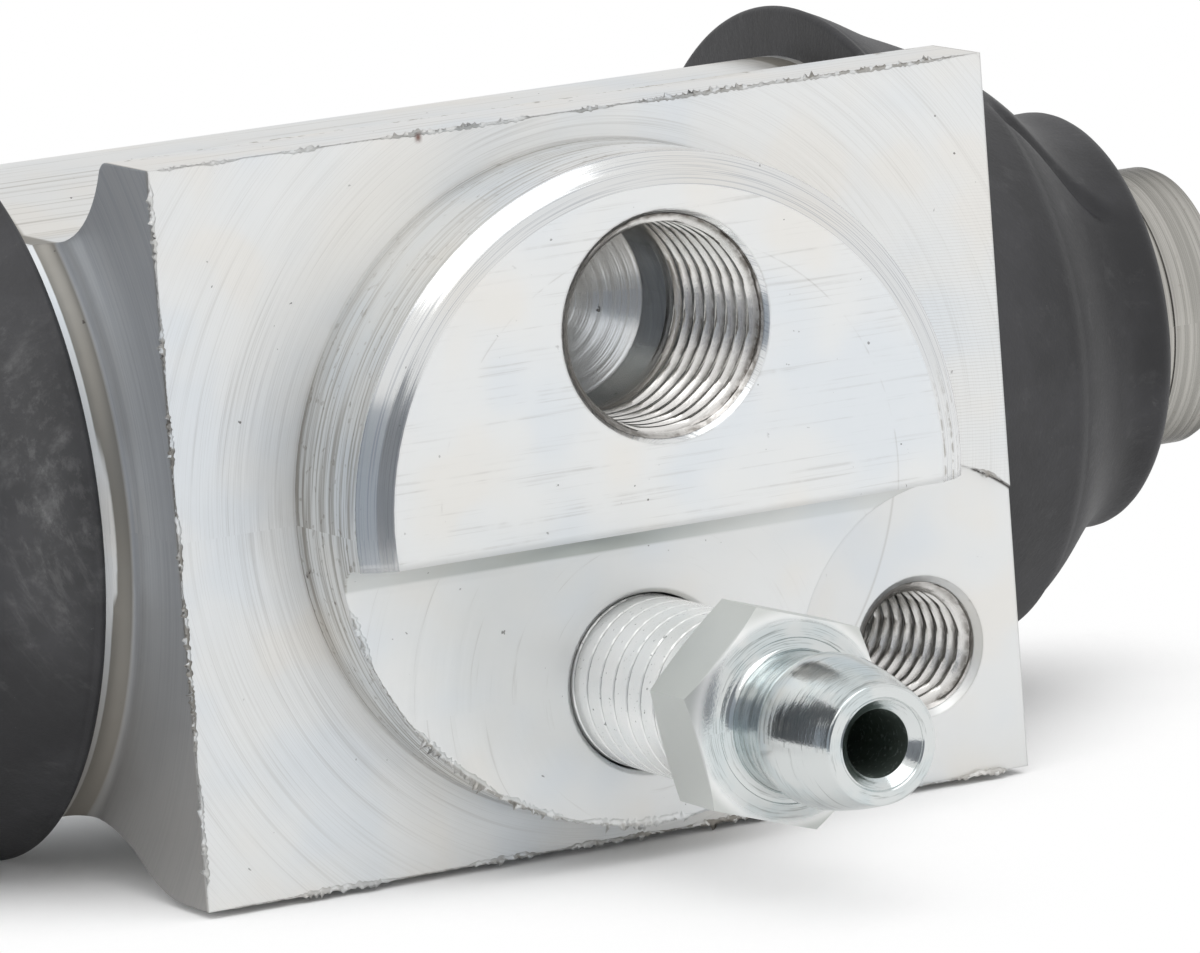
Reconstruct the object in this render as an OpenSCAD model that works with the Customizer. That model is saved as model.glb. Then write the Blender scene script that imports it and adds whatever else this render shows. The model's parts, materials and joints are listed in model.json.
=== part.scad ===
// Drum brake wheel cylinder: a flanged barrel with two opposed pistons, their seals and boots,
// a pipe port, a fixing hole and a bleed screw. Millimetres.
// X runs along the bore, -Y out of the mounting face, +Z up.
// The origin is the centre of the spigot, on the mounting face.

/* [Mounting plate] */
// Length of the plate along the bore
plate_w = 41.8; // [40:0.2:48]
// Height of the plate
plate_h = 33; // [32:0.2:38]
// Thickness of the plate at its top and bottom edges
plate_t = 4.9; // [4:0.1:6]
// Radius of the plate's lower corners
lower_corner_r = 1.1; // [0.5:0.1:2]
// Radius of the plate's upper corners
upper_corner_r = 0.4; // [0.2:0.1:1.5]
// Radius of the round along the plate's upper back edge
upper_back_r = 0.9; // [0.5:0.1:1.4]
// Radius of the round along the plate's lower back edge
lower_back_r = 7; // [4:0.5:8]

/* [Spigot] */
// Radius of the spigot that locates in the backing plate
spigot_r = 15.15; // [14.5:0.05:15.8]
// Height of the raised half of the spigot
raised_h = 6.9; // [6:0.1:8]
// Height of the milled lower half of the spigot
lower_h = 3.9; // [3:0.1:5]
// Height where the raised half's wall ends below the raised face
step_z = -1.45; // [-2.5:0.05:-0.5]
// Radius at the foot of the step between the halves
step_fillet_r = 1.5; // [0.5:0.1:2]
// Width of each of the two chamfers round the raised face
rim_chamfer_w = 0.72; // [0.4:0.02:1]
// Fall of the inner chamfer
rim_inner_fall = 0.32; // [0.1:0.02:0.5]
// Fall of the outer chamfer
rim_outer_fall = 0.62; // [0.3:0.02:0.9]

/* [Barrel] */
// Depth of the bore axis behind the mounting face
axis_depth = 21.4; // [20.5:0.1:24]
// Outer radius of the round barrel
barrel_r = 14.5; // [13.8:0.1:15.5]
// Height of the web's top above the bore axis
web_top = 12.4; // [11.6:0.1:13]
// Depth of the web's underside below the bore axis
web_bottom = 13.8; // [13.4:0.1:14.2]
// Radius of the valley between the plate and the web's top
top_valley_r = 6.3; // [5.5:0.1:7]
// Radius of the valley between the plate and the web's underside
bottom_valley_r = 9.8; // [8:0.1:12]
// Bore diameter
bore_d = 20.64; // [19:0.02:21.4]
// Radius of the turned land at each end
land_r = 16.4; // [15.8:0.1:16.8]
// Distance from the plate's end to the land's end
land_l = 1.4; // [1.1:0.05:2]
// Radius of the turned fillet between the plate's end and the land
end_fillet_r = 0.95; // [0.4:0.05:1]
// Radius of the neck that carries the boot
neck_r = 12.9; // [12.5:0.05:13.4]
// Length of the neck
neck_l = 4.2; // [3.8:0.1:5]
// Depth of the groove that holds the boot's bead
bead_groove_depth = 0.8; // [0.4:0.05:1]
// Width of the groove that holds the boot's bead
bead_groove_w = 1.8; // [1.4:0.1:2.4]

/* [Ports] */
// Sideways place of the pipe port
port_x = 0.3; // [-1:0.1:1]
// Height of the pipe port
port_z = 7.45; // [6.5:0.05:7.6]
// Radius of the pipe thread at its roots
port_thread_r = 5; // [4.8:0.05:5.2]
// Length of the pipe thread
port_thread_l = 8.6; // [7:0.1:9.5]
// Radius of the drilled hole under the thread
port_drill_r = 4.6; // [4.2:0.05:4.7]
// Depth of the drilled hole to its point
port_drill_l = 10.9; // [10:0.1:11.6]
// Width of the chamfer at the port's mouth
port_chamfer = 0.2; // [0.1:0.05:0.4]
// Radius of the passage from the port to the bore
port_passage_r = 1.7; // [1:0.05:2]
// Sideways place of the fixing hole
fixing_x = 15.7; // [15:0.1:17]
// Height of the fixing hole
fixing_z = -10.2; // [-11:0.1:-9.5]
// Radius of the fixing thread at its roots
fixing_thread_r = 3; // [2.7:0.05:3.2]
// Radius of the drilled hole under the fixing thread
fixing_drill_r = 2.5; // [2:0.05:2.6]
// Length of the fixing thread
fixing_thread_l = 10; // [8:0.1:10.5]
// Depth that the drill runs on past the fixing thread
fixing_drill_run = 1.5; // [0.5:0.1:2]
// Width of the countersink at the fixing hole's mouth
fixing_chamfer = 0.32; // [0.1:0.02:0.6]
// Radius of the spot face round the fixing hole
spot_face_r = 8.5; // [7:0.1:9]
// Depth of the spot face below the mounting face
spot_face_depth = 0.15; // [0.05:0.05:0.5]
// Angle of the drilled points
drill_point_angle = 118; // [110:1:140]

/* [Bleed screw] */
// Sideways place of the bleed screw
bleed_x = -0.2; // [-1:0.1:1]
// Height of the bleed screw
bleed_z = -8.8; // [-9:0.05:-8]
// Radius of the screw over its thread
bleed_r = 3.9; // [3.4:0.05:4.1]
// Depth of the bleed screw's thread below the milled half
bleed_hole_l = 7.2; // [6:0.1:8]
// Radius of the plain seat below the bleed screw's thread
bleed_seat_r = 3.1; // [2.7:0.05:3.2]
// Length of the plain seat above its cone
bleed_seat_l = 2.2; // [1.8:0.1:2.6]
// Radius of the screw's flat tip
bleed_tip_r = 1.03; // [0.8:0.01:1.2]
// Radius of the cross hole that feeds the bleed screw
bleed_cross_r = 0.7; // [0.5:0.05:0.8]
// Length of the thread that shows
bleed_thread_show = 9.1; // [7:0.1:10]
// Width across the hexagon's flats
hex_af = 9; // [8:0.1:10]
// Thickness of the hexagon
hex_l = 3.9; // [3:0.1:5]
// Turn of the hexagon from its upright place
hex_turn = 42; // [0:1:60]
// Radius of the nipple's widest part
nipple_r = 3.4; // [3:0.05:3.7]
// Radius of the neck below the nipple
nipple_neck_r = 3.05; // [2.6:0.05:3.2]
// Length of the nipple past the hexagon
nipple_l = 8; // [7:0.1:10]
// Distance from the hexagon to the nipple's neck
nipple_neck_l = 1.36; // [1:0.02:1.8]
// Distance from the nipple's neck to its widest band
nipple_swell_l = 1.84; // [1.2:0.02:2.2]
// Length of the nipple's widest band
nipple_band_l = 1.28; // [0.8:0.02:1.8]
// Radius of the nipple's flat end
nose_r = 2.5; // [2.3:0.05:2.8]
// Radius of the screw's drilled hole
bleed_bore_r = 1.5; // [1:0.05:1.7]
// Width of the chamfer at the nipple's mouth
nose_chamfer = 0.45; // [0.2:0.05:0.6]
// Radius of the passage from the bleed screw to the bore
bleed_passage_r = 1.2; // [0.8:0.05:1.5]

/* [Pistons and seals] */
// Radius of the piston's outer stub
stub_r = 6.7; // [6:0.05:7.2]
// Length of the stub that shows past the boot
stub_show = 5.1; // [4:0.1:8]
// Overall length of a piston
piston_l = 30.3; // [30:0.1:32]
// Length of the piston's guided head
head_l = 9.5; // [8:0.1:10]
// Length of a cup seal
cup_l = 4; // [3.5:0.1:4.4]
// Thickness of a cup seal's base
cup_base_t = 2; // [1.5:0.1:2.4]
// Thickness of a cup seal's lip
cup_lip_t = 1.5; // [1.2:0.1:2]
// Sheet thickness of a cup expander
expander_t = 0.6; // [0.4:0.05:0.8]
// Wire diameter of the return spring
spring_wire = 1.1; // [0.8:0.05:1.4]
// Mean radius of the return spring
spring_r = 4.6; // [4:0.1:5]
// Turns of the return spring
spring_turns = 6; // [5:1:8]

/* [Boots] */
// Radius of the boot's collar at the body
collar_r = 16.85; // [16.6:0.05:17.4]
// Radius of the collar at its outer edge
collar_end_r = 13.9; // [13.8:0.05:14.6]
// Length of the collar
collar_l = 7.2; // [6.8:0.1:7.6]
// Hollow of the collar's slope between its ends
collar_sag = 0.25; // [0:0.05:0.4]
// Radius at the crease between the band and the lip
crease_r = 10; // [9.6:0.05:10.6]
// Distance of the crease from the collar's inner end
crease_x = 11.9; // [11.5:0.1:12.2]
// Height above the crease of the point that the band's curve leans on
band_bend_h = 1.9; // [1.4:0.1:2.4]
// Distance past the collar of the point that the band's curve leans on
band_bend_l = 2.5; // [2:0.1:3]
// Rise of the lip above the crease
lip_rise = 0.15; // [0.1:0.05:0.6]
// Overall length of the boot
boot_l = 14.5; // [14.2:0.1:15.5]
// Wall thickness of the boot
boot_t = 1.7; // [1.4:0.05:1.9]
// Radius of the boot's outer edges
boot_edge_r = 0.7; // [0.5:0.05:0.9]
// Width of the bead inside the lip
lip_bead_w = 2.2; // [1.8:0.1:2.4]
// Depth of the piston's groove for the lip's bead
lip_groove_depth = 0.6; // [0.4:0.05:1]

/* [Clearances] */
// Running clearance between the bore and what slides in it
run_clear = 0.04; // [0.02:0.01:0.09]
// Clearance between the bleed screw and its hole
screw_clear = 0.1; // [0.06:0.01:0.15]
// Gap left between soft pieces and what they sit on
soft_clear = 0.15; // [0.1:0.01:0.25]

/* [Hidden] */
$fn = 96;
// Overlap that lets a cut run clear of a face
cut = 1;
// Points along a rounded stretch of a turned section
arc_points = 10;
bore_r = bore_d / 2;
run_r = bore_r - run_clear;
// Places along the bore, measured from the middle
plate_end = plate_w / 2;
shoulder = plate_end + land_l;
neck_end = shoulder + neck_l;
boot_end = shoulder + boot_l;
stub_end = boot_end + stub_show;
head_in = stub_end - piston_l;
head_out = head_in + head_l;
cup_in = head_in - cup_l;
bead_r = neck_r - bead_groove_depth;
raised_r = spigot_r - 2 * rim_chamfer_w;
wall_h = raised_h - rim_inner_fall - rim_outer_fall;
// Width of the small chamfers on turned edges
stub_edge = 0.4;
lip_groove_r = stub_r - lip_groove_depth;
// Places along the bleed screw, measured out from the milled half
hex_end = bleed_thread_show + hex_l;
hex_face_r = hex_af / 2 - stub_edge;
hex_slope = tan(30);
nipple_swell = hex_end + nipple_neck_l + nipple_swell_l;
bleed_end = hex_end + nipple_l;
bleed_hole_r = bleed_r + screw_clear;
bleed_cone = bleed_hole_l + bleed_seat_l;
point_fall = 1 / tan(drill_point_angle / 2);
// Shares of the boot's wall by which its inside lies below and behind the band's outside
wall_lean = [0.75, 0.6];
// Pitch of the spring's closed end turns, in wire diameters
closed_pitch = 1.05;
// Step of a cut's last point past the face that it meets
overrun = 0.02;

// Points of an arc in a plane, from one angle to another
function arc(centre, r, from, to, n = arc_points) =
    [for (i = [0:n]) centre + r * [cos(from + (to - from) * i / n), sin(from + (to - from) * i / n)]];

// Turns a section of radius and distance about the bore, towards +X
module turned_on_bore() {
    translate([0, axis_depth, 0]) rotate([0, 90, 0]) rotate_extrude() children();
}

// Stands a shape that points along +Z at a place on the mounting face, pointing out of it
module out_of_face(x, z, y = 0) {
    translate([x, y, z]) rotate([90, 0, 0]) children();
}

// Lays a flat section of depth and height along the bore
module along_bore(length) {
    rotate([90, 0, 90]) linear_extrude(length, center = true) children();
}

// Rectangle whose two lower and two upper corners have their own radii
module plate_outline() {
    w = plate_w / 2;
    h = plate_h / 2;
    a = lower_corner_r;
    b = upper_corner_r;
    polygon(concat(arc([-w + a, -h + a], a, 180, 270), arc([w - a, -h + a], a, 270, 360),
                   arc([w - b, h - b], b, 0, 90), arc([-w + b, h - b], b, 90, 180)));
}

// Section of the drawn bar behind the plate: web, barrel and the valleys between
module barrel_section() {
    translate([0, -web_bottom]) square([axis_depth, web_bottom + web_top]);
    translate([axis_depth, 0]) circle(barrel_r);
    valley_section(web_top, top_valley_r);
    mirror([0, 1]) valley_section(web_bottom, bottom_valley_r);
}

// Middle of the hollow round between the plate's back and a web of this height
function valley_centre(web, r) =
    let (rise = plate_h / 2 - web) [plate_t + (rise < r ? sqrt(r * r - (r - rise) * (r - rise)) : r), web + r];

module valley_section(web, r) {
    middle = valley_centre(web, r);
    difference() {
        translate([0, web - cut]) square([middle[0], min(plate_h / 2 - web, r) + cut]);
        translate(middle) circle(r);
    }
}

// Section of what is rounded off one of the plate's back edges, as far as the round meets the valley
module back_edge_cut(web, valley_r, edge_r) {
    h = plate_h / 2;
    valley = valley_centre(web, valley_r);
    apart = edge_r + valley_r;
    drop = valley[1] - h + edge_r;
    middle = [valley[0] - sqrt(apart * apart - drop * drop), h - edge_r];
    turn = asin(drop / apart);
    polygon(concat([middle + [0, edge_r + cut]], arc(middle, edge_r, 90, turn + (90 - turn) / arc_points),
                   [middle + (edge_r + overrun) * [cos(turn), sin(turn)], [valley[0], h + cut]]));
}

// Section that the lathe leaves: land and fillet beyond the plate's end
module turned_envelope() {
    reach = plate_h + axis_depth;
    translate([0, -plate_end]) square([reach, plate_w]);
    for (side = [0, 1]) mirror([0, side]) {
        square([land_r, shoulder]);
        difference() {
            translate([land_r - cut, plate_end - cut]) square(end_fillet_r + cut);
            translate([land_r, plate_end] + [1, 1] * end_fillet_r) circle(end_fillet_r);
        }
    }
}

// Necks that carry the boots, each with its bead groove
module neck_section() {
    for (side = [0, 1]) mirror([0, side]) {
        square([bead_r, neck_end]);
        translate([0, shoulder + bead_groove_w])
            polygon([[0, 0], [neck_r, 0], [neck_r, neck_l - bead_groove_w - stub_edge],
                     [neck_r - stub_edge, neck_l - bead_groove_w], [0, neck_l - bead_groove_w]]);
    }
}

module spigot() {
    difference() {
        rotate([90, 0, 0]) rotate_extrude()
            polygon([[0, -plate_t / 2], [spigot_r, -plate_t / 2], [spigot_r, wall_h],
                     [spigot_r - rim_chamfer_w, wall_h + rim_outer_fall], [raised_r, raised_h], [0, raised_h]]);
        along_bore(2 * spigot_r + 2 * cut) milled_half();
    }
}

// Section of what the mill takes off the spigot's lower half
module milled_half() {
    f = step_fillet_r;
    corner = [-lower_h, step_z];
    difference() {
        translate([-raised_h - cut, step_z - 2 * spigot_r]) square([raised_h + cut - lower_h, 2 * spigot_r]);
        difference() {
            translate(corner - [f, f]) square(f + cut);
            translate(corner - [f, f]) circle(f);
        }
    }
}

// Drilled and chamfered hole, from its mouth downwards along -Z
module tapped_hole(r, length, drill_r, drill_l, chamfer) {
    point = drill_r * point_fall;
    rotate_extrude()
        polygon([[0, cut], [r + chamfer + cut, cut], [r + chamfer, 0], [r, -chamfer], [r, -length],
                 [drill_r, -length], [drill_r, -drill_l], [0, -drill_l - point]]);
}

// Hole for the bleed screw: thread, plain seat and the cone that the screw closes on
module bleed_hole() {
    chamfer = 2 * screw_clear;
    rotate_extrude()
        polygon([[0, cut], [bleed_hole_r + chamfer + cut, cut], [bleed_hole_r + chamfer, 0],
                 [bleed_hole_r, -chamfer], [bleed_hole_r, -bleed_hole_l], [bleed_seat_r, -bleed_hole_l],
                 [bleed_seat_r, -bleed_cone], [0, -bleed_cone - bleed_seat_r]]);
}

// Straight passage from a hole's mouth down to the bore axis
module passage(r) {
    translate([0, 0, -axis_depth]) cylinder(r = r, h = axis_depth);
}

module cylinder_body() {
    color("gainsboro") difference() {
        union() {
            translate([0, plate_t, 0]) rotate([90, 0, 0]) linear_extrude(plate_t) plate_outline();
            intersection() {
                along_bore(2 * shoulder) barrel_section();
                turned_on_bore() turned_envelope();
            }
            turned_on_bore() neck_section();
            spigot();
        }
        out_of_face(fixing_x, fixing_z, -raised_h - cut)
            translate([0, 0, -raised_h - cut - spot_face_depth])
                cylinder(r = spot_face_r, h = raised_h + cut + spot_face_depth);
        along_bore(plate_w + 2 * cut) {
            back_edge_cut(web_top, top_valley_r, upper_back_r);
            mirror([0, 1]) back_edge_cut(web_bottom, bottom_valley_r, lower_back_r);
        }
        turned_on_bore() translate([0, -neck_end - cut]) square([bore_r, 2 * (neck_end + cut)]);
        out_of_face(port_x, port_z, -raised_h)
            tapped_hole(port_thread_r, port_thread_l, port_drill_r, port_drill_l, port_chamfer);
        out_of_face(port_x, port_z) passage(port_passage_r);
        out_of_face(fixing_x, fixing_z, spot_face_depth)
            tapped_hole(fixing_thread_r, fixing_thread_l, fixing_drill_r, fixing_thread_l + fixing_drill_run,
                        fixing_chamfer);
        out_of_face(bleed_x, bleed_z, -lower_h) bleed_hole();
        out_of_face(bleed_x, bleed_z) passage(bleed_passage_r);
    }
}

// Piston for the right end: guided head, stub and the groove that the boot grips
module piston() {
    groove_end = boot_end + soft_clear;
    groove_start = boot_end - lip_bead_w - 3 * soft_clear;
    turned_on_bore()
        polygon([[0, head_in], [run_r - stub_edge, head_in], [run_r, head_in + stub_edge],
                 [run_r, head_out - stub_edge], [run_r - stub_edge, head_out], [stub_r, head_out],
                 [stub_r, groove_start], [lip_groove_r, groove_start], [lip_groove_r, groove_end],
                 [stub_r, groove_end], [stub_r, stub_end - stub_edge], [stub_r - stub_edge, stub_end],
                 [0, stub_end]]);
}

// Cup seal for the right end, its open side towards the middle
module cup_seal() {
    lip_in = run_r - cup_lip_t;
    turned_on_bore()
        polygon([[0, head_in], [run_r - stub_edge, head_in], [run_r, head_in - stub_edge], [run_r, cup_in],
                 [lip_in + cup_lip_t / 2, cup_in], [lip_in, head_in - cup_base_t], [0, head_in - cup_base_t]]);
}

// Pressed disc that holds a cup's lip out and the spring in the middle
module cup_expander() {
    seat = head_in - cup_base_t;
    rim = run_r - cup_lip_t - soft_clear;
    dish = spring_r + spring_wire / 2 + soft_clear;
    turned_on_bore()
        polygon([[0, seat], [rim, seat], [rim, seat - 2 * expander_t], [rim - expander_t, seat - 2 * expander_t],
                 [rim - expander_t, seat - expander_t], [dish + expander_t, seat - expander_t],
                 [dish + expander_t, seat - 3 * expander_t], [dish, seat - 3 * expander_t],
                 [dish, seat - expander_t], [0, seat - expander_t]]);
}

// Coil between the two expanders, with closed end turns
module return_spring() {
    sides = 8;
    steps = 18;
    rings = spring_turns * steps;
    length = 2 * (head_in - cup_base_t - expander_t) - spring_wire - 2 * soft_clear;
    closed = spring_wire * closed_pitch;
    open = (length - 2 * closed) / (spring_turns - 2);
    function along(turn) = -length / 2 + (turn < 1 ? turn * closed
        : turn > spring_turns - 1 ? closed + open * (spring_turns - 2) + (turn - spring_turns + 1) * closed
        : closed + (turn - 1) * open);
    points = [for (i = [0:rings], j = [0:sides - 1])
        let (turn = i / steps, a = 360 * turn, b = 360 * j / sides, r = spring_r + spring_wire / 2 * cos(b))
            [along(turn) + spring_wire / 2 * sin(b), axis_depth + r * cos(a), r * sin(a)]];
    faces = concat([[for (j = [0:sides - 1]) j]],
                   [for (i = [0:rings - 1], j = [0:sides - 1])
                       let (k = (j + 1) % sides, a = i * sides, b = a + sides) [a + j, b + j, b + k, a + k]],
                   [[for (j = [sides - 1:-1:0]) rings * sides + j]]);
    color("slategray") polyhedron(points, faces);
}

// Boot for the right end: bead in the neck's groove, tapered collar, hollow band and lip on the piston
module boot() {
    edge = boot_edge_r;
    bead_in = bead_r + soft_clear;
    over_neck = neck_r + soft_clear;
    seat_r = lip_groove_r + soft_clear;
    lip_r = crease_r + lip_rise;
    band_start = [collar_end_r - edge / 2, collar_l + edge / 3];
    band_bend = [crease_r + band_bend_h, collar_l + band_bend_l];
    band_end = [crease_r, crease_x];
    function band(t) = (1 - t) * (1 - t) * band_start + 2 * t * (1 - t) * band_bend + t * t * band_end;
    function slope(t) = [collar_r + (collar_end_r - collar_r) * t - 4 * collar_sag * t * (1 - t),
                         edge + (collar_l - edge) * t];
    outside = concat(arc([collar_r - edge, edge], edge, -90, 0, 4), [for (i = [1:6]) slope(i / 6)],
                     [for (i = [0:8]) band(i / 8)], [[lip_r, crease_x + edge]],
                     arc([lip_r - 1.5 * edge, boot_l - 1.5 * edge], 1.5 * edge, 0, 90, 5));
    inside = concat([[seat_r, boot_l], [seat_r, boot_l - lip_bead_w]],
                    [for (i = [5:-1:2]) band(i / 5) - wall_lean * boot_t],
                    [[over_neck, max(collar_l - boot_t, neck_l + soft_clear)],
                     [over_neck, bead_groove_w - soft_clear], [bead_in, bead_groove_w - soft_clear], [bead_in, 0]]);
    turned_on_bore() translate([0, shoulder]) polygon(concat(outside, inside));
}

module bleed_screw() {
    corner_r = hex_af / sqrt(3);
    face_r = hex_af / 2;
    far_r = corner_r + cut;
    seat_r = bleed_seat_r - screw_clear;
    cross_z = -bleed_hole_l - bleed_seat_l / 2;
    drill_z = cross_z - bleed_cross_r - stub_edge;
    tip_z = 2 * screw_clear - bleed_cone - bleed_seat_r + bleed_tip_r;
    color("silver") out_of_face(bleed_x, bleed_z, -lower_h) difference() {
        union() {
            rotate_extrude()
                polygon([[0, tip_z], [bleed_tip_r, tip_z], [seat_r, tip_z + seat_r - bleed_tip_r],
                         [seat_r, stub_edge - bleed_hole_l], [bleed_r, stub_edge - bleed_hole_l + bleed_r - seat_r],
                         [bleed_r, bleed_thread_show - stub_edge], [bleed_r - stub_edge, bleed_thread_show],
                         [bleed_r - stub_edge, hex_end - cut], [0, hex_end - cut]]);
            intersection() {
                rotate(hex_turn) translate([0, 0, bleed_thread_show]) cylinder(r = corner_r, h = hex_l, $fn = 6);
                rotate_extrude()
                    polygon([[0, bleed_thread_show], [face_r, bleed_thread_show],
                             [far_r, bleed_thread_show + (far_r - face_r) * hex_slope / 2],
                             [far_r, hex_end - (far_r - hex_face_r) * hex_slope], [hex_face_r, hex_end], [0, hex_end]]);
            }
            rotate_extrude() nipple_section();
        }
        translate([0, 0, drill_z]) cylinder(r = bleed_bore_r, h = bleed_end - drill_z + cut);
        translate([0, 0, cross_z]) rotate([0, 90, 0])
            cylinder(r = bleed_cross_r, h = 2 * bleed_seat_r, center = true);
        translate([0, 0, bleed_end - nose_chamfer])
            cylinder(r1 = bleed_bore_r, r2 = bleed_bore_r + 2 * nose_chamfer, h = 2 * nose_chamfer);
    }
}

// Half section of the nipple: waist, widest band and tapered nose
module nipple_section() {
    polygon([[0, hex_end - cut], [hex_face_r, hex_end - cut], [hex_face_r, hex_end],
             [nipple_neck_r, hex_end + nipple_neck_l], [nipple_r, nipple_swell],
             [nipple_r, nipple_swell + nipple_band_l], [nose_r + stub_edge / 2, bleed_end - stub_edge],
             [nose_r, bleed_end], [0, bleed_end]]);
}

module left_of_middle() {
    mirror([1, 0, 0]) children();
}

module right_piston() { color("darkgray") piston(); }
module left_piston() { color("darkgray") left_of_middle() piston(); }
module right_cup_seal() { color("dimgray") cup_seal(); }
module left_cup_seal() { color("dimgray") left_of_middle() cup_seal(); }
module right_cup_expander() { color("lightsteelblue") cup_expander(); }
module left_cup_expander() { color("lightsteelblue") left_of_middle() cup_expander(); }
module right_boot() { color("#2b2c2f") boot(); }
module left_boot() { color("#2b2c2f") left_of_middle() boot(); }

cylinder_body();
left_piston();
right_piston();
left_cup_seal();
right_cup_seal();
left_cup_expander();
right_cup_expander();
return_spring();
left_boot();
right_boot();
bleed_screw();
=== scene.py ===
import json
import math
import random

import bmesh
import bpy
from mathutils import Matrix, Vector, noise


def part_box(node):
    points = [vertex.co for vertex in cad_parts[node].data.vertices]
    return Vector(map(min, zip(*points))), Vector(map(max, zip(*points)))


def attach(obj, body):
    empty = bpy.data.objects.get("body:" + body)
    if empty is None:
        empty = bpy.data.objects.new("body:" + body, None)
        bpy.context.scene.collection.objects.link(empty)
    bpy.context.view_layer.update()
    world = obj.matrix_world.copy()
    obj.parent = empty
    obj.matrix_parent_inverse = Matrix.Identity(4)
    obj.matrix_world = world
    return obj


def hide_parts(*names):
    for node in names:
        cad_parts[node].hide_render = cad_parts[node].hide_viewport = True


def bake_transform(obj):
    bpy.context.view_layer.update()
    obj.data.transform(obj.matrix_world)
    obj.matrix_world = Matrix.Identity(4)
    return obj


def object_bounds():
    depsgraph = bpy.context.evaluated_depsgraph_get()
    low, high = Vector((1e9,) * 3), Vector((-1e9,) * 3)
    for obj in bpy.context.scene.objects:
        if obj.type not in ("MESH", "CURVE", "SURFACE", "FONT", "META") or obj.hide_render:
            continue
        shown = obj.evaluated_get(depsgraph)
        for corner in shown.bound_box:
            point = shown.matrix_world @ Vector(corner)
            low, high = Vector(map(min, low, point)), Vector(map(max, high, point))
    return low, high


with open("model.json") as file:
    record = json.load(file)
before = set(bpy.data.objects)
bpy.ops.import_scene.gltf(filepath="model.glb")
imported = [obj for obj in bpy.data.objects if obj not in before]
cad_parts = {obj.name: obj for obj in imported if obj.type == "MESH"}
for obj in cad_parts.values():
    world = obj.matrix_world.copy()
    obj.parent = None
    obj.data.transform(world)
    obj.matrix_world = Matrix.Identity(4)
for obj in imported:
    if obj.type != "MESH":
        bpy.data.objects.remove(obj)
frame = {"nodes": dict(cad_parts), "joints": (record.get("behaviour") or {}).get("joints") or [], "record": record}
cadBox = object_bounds()
nodes = frame["nodes"]
mounts = {mount["name"]: mount for mount in frame["record"]["mounts"]}
joints = {joint["name"]: joint for joint in frame["joints"]}
mm = 0.001
fullTurn = 2 * math.pi
print("frame loaded,", len(nodes), "nodes")


def placeOf(name):
    return Vector(mounts[name]["pos_m"]) / mm


def radiusOf(name):
    return mounts[name]["dims"]["r_mm"]


def boxOf(name):
    low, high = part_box(name)
    return low / mm, high / mm


bodyLow, bodyHigh = boxOf("cylinder_body")
raisedY = bodyLow.y                          # the raised half's face
axisDepth = placeOf("right_shoe_seat").y     # the bore's axis behind the plate
spigotR = radiusOf("spigot")
plateHalf = 20.9                             # half the plate's width
plateTop = bodyHigh.z


# A shader socket that takes part in Python sums
class Val:
    def __init__(self, tree, socket=None):
        self.tree = tree
        self.socket = socket

    def make(self, kind, settings=None, sockets=None, out=0):
        made = self.tree.nodes.new("ShaderNode" + kind)
        for key, value in (settings or {}).items():
            setattr(made, key, value)
        for key, value in (sockets or {}).items():
            if isinstance(value, Val):
                self.tree.links.new(value.socket, made.inputs[key])
            else:
                made.inputs[key].default_value = value
        return Val(self.tree, made.outputs[out])

    def math(self, operation, first, second=0.0):
        return self.make("Math", {"operation": operation}, {0: first, 1: second})

    def __add__(self, other):
        return self.math("ADD", self, other)

    def __sub__(self, other):
        return self.math("SUBTRACT", self, other)

    def __rsub__(self, other):
        return self.math("SUBTRACT", other, self)

    def __mul__(self, other):
        return self.math("MULTIPLY", self, other)

    __radd__ = __add__
    __rmul__ = __mul__

    def rise(self, low, high):               # 0 below low, 1 above high
        return self.make("MapRange", {"interpolation_type": "SMOOTHSTEP"},
                         {"Value": self, "From Min": low, "From Max": high})

    def near(self, middle, width):           # 1 at the middle, 0 a width away
        return 1 - self.math("ABSOLUTE", self - middle).rise(0.0, width)

    def span(self, other):                   # the distance that two sides at a right angle make
        return self.math("SQRT", self * self + other * other)

    def split(self):
        first = self.make("SeparateXYZ", None, {0: self})
        return [Val(self.tree, socket) for socket in first.socket.node.outputs]

    def join(self, x, y, z):
        return self.make("CombineXYZ", None, {0: x, 1: y, 2: z})

    def grain(self, x, y, z, detail=2.0, rough=0.5):
        return self.make("TexNoise", None, {"Vector": self.join(x, y, z), "Scale": 1.0,
                                            "Detail": detail, "Roughness": rough})

    def tint(self, mask, first, second):
        return self.make("Mix", {"data_type": "RGBA"}, {0: mask, 6: first, 7: second}, 2)

    def vector(self, operation, first, second=(0, 0, 0)):
        return self.make("VectorMath", {"operation": operation}, {0: first, 1: second})

    def groovesRound(self, offset, axis):    # the way that turning marks run about an axis
        return self.vector("NORMALIZE", self.vector("CROSS_PRODUCT", offset, axis))

    def lean(self, grooves, amount):         # this normal tilted across the grooves
        across = self.vector("CROSS_PRODUCT", self, grooves)
        tilt = self.make("VectorMath", {"operation": "SCALE"}, {0: across, 3: amount})
        return self.vector("NORMALIZE", self.vector("ADD", self, tilt))


def grey(level):
    return (level, level, level, 1)


def surface(name, constants):
    material = bpy.data.materials.new(name)
    material.use_nodes = True
    tree = material.node_tree
    shader = tree.nodes["Principled BSDF"]
    for key, value in constants.items():
        shader.inputs[key].default_value = value
    start = Val(tree)
    place = start.make("TexCoord", None, None, 3)    # object coordinates
    millimetres = start.make("VectorMath", {"operation": "SCALE"}, {0: place, 3: 1 / mm})
    return material, start, shader, millimetres


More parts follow.
